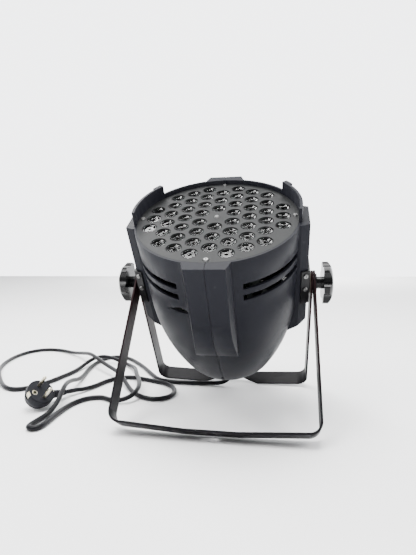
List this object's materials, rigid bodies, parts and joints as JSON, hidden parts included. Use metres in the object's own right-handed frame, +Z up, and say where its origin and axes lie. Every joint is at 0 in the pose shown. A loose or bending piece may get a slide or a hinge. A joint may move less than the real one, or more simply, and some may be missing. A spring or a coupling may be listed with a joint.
{
  "type": "par can light",
  "caption": "Floor-standing stage wash light: round die-cast lamp head packed with small lenses, held between two opened strip yokes with clamp knobs, with a mains lead and plug",
  "frame": {"origin": "on the floor, under the middle of the lamp and its yokes (bottom centre of the bounding box without the cord)", "axes": "X along the pivot axis between the knobs, Y to the back, Z up"},
  "size_m": [0.5945, 0.3955, 0.3179],
  "materials": {
    "black_casting": "die-cast, satin black paint",
    "black_steel": "steel strip, semi-gloss black powder coat",
    "face_black": "satin black paint",
    "clear_lens": "clear polished",
    "black_plastic": "moulded matte",
    "circuit_board": "soldermask",
    "led_chip": "silicone dome",
    "bare_aluminium": "extruded, bare",
    "zinc_steel": "zinc plated",
    "panel_black": "matte black paint",
    "window_clear": "tinted",
    "button_plastic": "moulded",
    "socket_shell": "black plated",
    "gland_plastic": "moulded matte",
    "cord_rubber": "smooth, slightly shiny",
    "fibre_disc": "pressed fibre",
    "knob_plastic": "glossy moulded",
    "plug_metal": "nickel plated, worn"
  },
  "bodies": {
    "lamp": {"housing_right": "black_casting", "housing_left": "black_casting", "face_plate": "face_black", "lenses": "clear_lens", "lens_holders": "black_plastic", "led_board": "circuit_board", "led_emitters": "led_chip", "heat_sink": "bare_aluminium", "face_screws": "zinc_steel", "fan_frame": "black_plastic", "fan_screws": "zinc_steel", "power_supply": "circuit_board", "supply_posts": "zinc_steel", "tray": "bare_aluminium", "rear_panel": "panel_black", "panel_screws": "zinc_steel", "display_window": "window_clear", "display": "button_plastic", "control_board": "circuit_board", "dmx_in": "socket_shell", "dmx_in_pins": "black_plastic", "dmx_out": "socket_shell", "dmx_out_insert": "black_plastic", "cable_gland": "gland_plastic", "gland_nut": "gland_plastic", "strain_relief": "cord_rubber", "bracket_right": "black_steel", "bracket_left": "black_steel", "friction_disc_right": "fibre_disc", "friction_disc_left": "fibre_disc", "stud_right": "zinc_steel", "stud_left": "zinc_steel", "stud_nuts": "zinc_steel", "bracket_screws": "zinc_steel", "safety_eye": "zinc_steel", "plug_body": "cord_rubber", "plug_pins": "plug_metal", "plug_earth": "plug_metal", "plug_relief": "cord_rubber", "power_cord": "cord_rubber"},
    "outer_yoke": {"front_yoke": "black_steel", "yoke_washer_right": "zinc_steel", "yoke_washer_left": "zinc_steel"},
    "inner_yoke": {"rear_yoke": "black_steel"},
    "clamp_right": {"clamp_washer_right": "zinc_steel"},
    "clamp_left": {"clamp_washer_left": "zinc_steel"},
    "grip_right": {"knob_right": "knob_plastic"},
    "grip_left": {"knob_left": "knob_plastic"},
    "menu": {"button_menu": "button_plastic"},
    "down": {"button_down": "button_plastic"},
    "up": {"button_up": "button_plastic"},
    "enter": {"button_enter": "button_plastic"},
    "latch": {"dmx_latch": "button_plastic"},
    "fan": {"fan_rotor": "black_plastic"}
  },
  "joints": [
    {"name": "front_yoke_swing", "type": "hinge", "parent": "lamp", "child": "outer_yoke", "pos_m": [0, 0.0123, 0.16933], "axis": [1, 0, 0], "range_deg": [-150, 25]},
    {"name": "rear_yoke_swing", "type": "hinge", "parent": "lamp", "child": "inner_yoke", "pos_m": [0, 0.0123, 0.16933], "axis": [1, 0, 0], "range_deg": [0, 150]},
    {"name": "clamp_slide_right", "type": "slide", "parent": "lamp", "child": "clamp_right", "axis": [1, 0, 0], "range_m": [0, 0.0025]},
    {"name": "knob_turn_right", "type": "hinge", "parent": "clamp_right", "child": "grip_right", "pos_m": [0.1368, 0.0123, 0.16933], "axis": [1, 0, 0], "range_deg": [0, 720]},
    {"name": "clamp_slide_left", "type": "slide", "parent": "lamp", "child": "clamp_left", "axis": [-1, 0, 0], "range_m": [0, 0.0025]},
    {"name": "knob_turn_left", "type": "hinge", "parent": "clamp_left", "child": "grip_left", "pos_m": [-0.1368, 0.0123, 0.16933], "axis": [-1, 0, 0], "range_deg": [0, 720]},
    {"name": "press_menu", "type": "slide", "parent": "lamp", "child": "menu", "axis": [0, -0.5432, 0.8396], "range_m": [0, 0.0008], "stiffness_N_per_m": 600, "springref_m": -0.0005},
    {"name": "press_down", "type": "slide", "parent": "lamp", "child": "down", "axis": [0, -0.5432, 0.8396], "range_m": [0, 0.0008], "stiffness_N_per_m": 600, "springref_m": -0.0005},
    {"name": "press_up", "type": "slide", "parent": "lamp", "child": "up", "axis": [0, -0.5432, 0.8396], "range_m": [0, 0.0008], "stiffness_N_per_m": 600, "springref_m": -0.0005},
    {"name": "press_enter", "type": "slide", "parent": "lamp", "child": "enter", "axis": [0, -0.5432, 0.8396], "range_m": [0, 0.0008], "stiffness_N_per_m": 600, "springref_m": -0.0005},
    {"name": "latch_press", "type": "slide", "parent": "lamp", "child": "latch", "axis": [0, -0.5432, 0.8396], "range_m": [0, 0.0015], "stiffness_N_per_m": 600, "springref_m": -0.0005},
    {"name": "fan_spin", "type": "hinge", "parent": "lamp", "child": "fan", "pos_m": [0, -0.01214, 0.20711], "axis": [0, -0.5432, 0.8396], "continuous": true}
  ],
  "couplings": [
    {"joint": "clamp_slide_right", "follows": "knob_turn_right", "m_per_rad": 0.00019894},
    {"joint": "clamp_slide_left", "follows": "knob_turn_left", "m_per_rad": 0.00019894}
  ]
}
